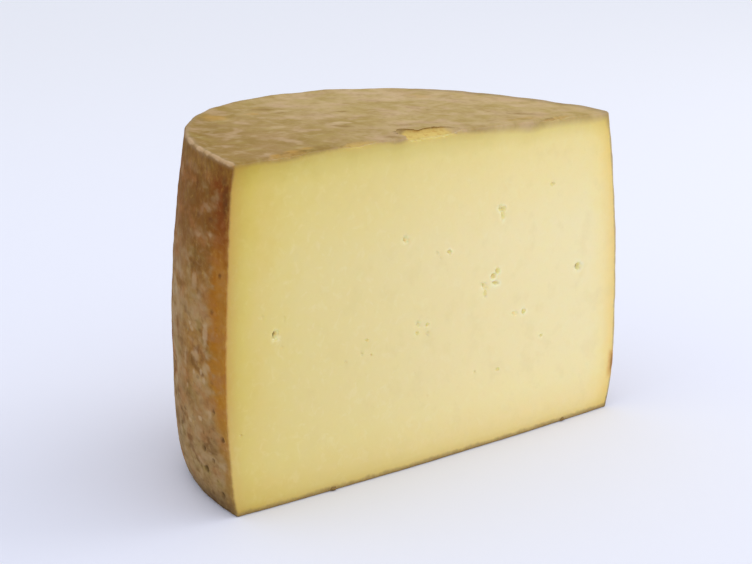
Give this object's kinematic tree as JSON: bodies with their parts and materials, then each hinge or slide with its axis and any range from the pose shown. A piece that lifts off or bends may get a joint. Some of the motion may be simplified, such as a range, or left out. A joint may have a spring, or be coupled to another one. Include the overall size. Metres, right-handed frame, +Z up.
{
  "type": "farmhouse cheddar half",
  "caption": "Half of a tall barrel-shaped farmhouse cheddar with a thin mottled natural rind, cut straight through to show its pale yellow paste and small openings.",
  "frame": {"origin": "middle of the box's base, on the surface that the cheese stands on", "axes": "+Z up; the cut face looks along -Y and the rind bulges towards +Y; +X runs to the right along the cut, seen from in front of it"},
  "size_m": [0.2808, 0.143, 0.1844],
  "materials": {
    "cheese": "Pale butter-yellow paste with a slightly waxy sheen on the cut face, under a thin dry rind that is mottled in tan, brown, orange-brown and grey"
  },
  "bodies": {
    "root": {"cheese_half": "cheese"}
  },
  "joints": []
}
